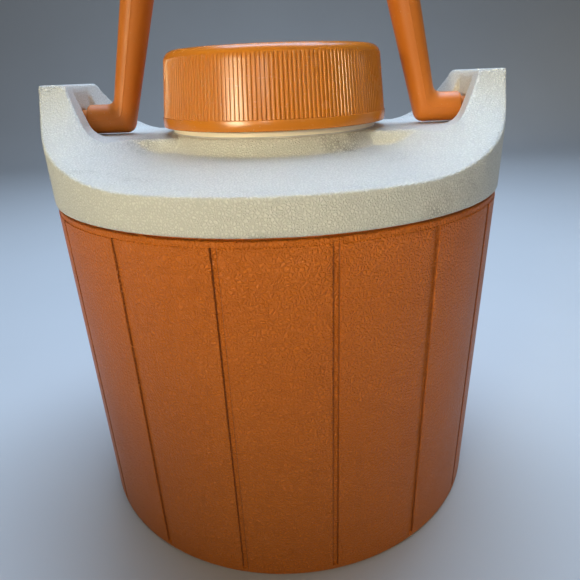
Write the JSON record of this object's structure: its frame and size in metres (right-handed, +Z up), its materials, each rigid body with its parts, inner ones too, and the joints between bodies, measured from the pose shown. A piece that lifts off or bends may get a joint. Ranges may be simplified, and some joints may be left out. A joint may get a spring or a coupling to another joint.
{
  "type": "insulated water jug",
  "caption": "Insulated picnic water jug: grooved tapered jacket, cream shoulder with two ears, swinging bail handle and a ribbed wide-mouth screw cap.",
  "frame": {"origin": "middle of the foot ring's underside, on the surface that the jug stands on", "axes": "+Z up through the cap, handle axis along X through the two ears, front towards -Y"},
  "size_m": [0.2144, 0.2144, 0.3005],
  "materials": {
    "jacket": "leather-grained polyethylene",
    "shoulder": "leather-grained polyethylene",
    "vessel": "smooth polyethylene",
    "foam": "rigid polyurethane foam",
    "cap": "glossy polypropylene",
    "handle": "satin polyethylene",
    "seal": "soft rubber",
    "plug": "smooth polyethylene"
  },
  "bodies": {
    "root": {"outer_jacket": "jacket", "filling_plug": "plug", "foam_insulation": "foam", "inner_vessel": "vessel", "neck_gasket": "seal", "shoulder": "shoulder"},
    "handle": {"handle": "handle"},
    "cap_seal": {"cap_inner_cup": "vessel", "cap_foam": "foam", "cap_gasket": "seal"},
    "cap": {"cap_shell": "cap"}
  },
  "joints": [
    {"name": "handle_hinge", "type": "hinge", "parent": "root", "child": "handle", "pos_m": [0, 0, 0.193], "axis": [1, 0, 0], "range_deg": [-84, 84]},
    {"name": "cap_rise", "type": "slide", "parent": "root", "child": "cap_seal", "axis": [0, 0, 1], "range_m": [0, 0.022]},
    {"name": "cap_turn", "type": "hinge", "parent": "cap_seal", "child": "cap", "pos_m": [0, 0, 0.2], "axis": [0, 0, 1], "range_deg": [0, 990]}
  ],
  "couplings": [
    {"joint": "cap_rise", "follows": "cap_turn", "m_per_rad": 0.0012732}
  ]
}
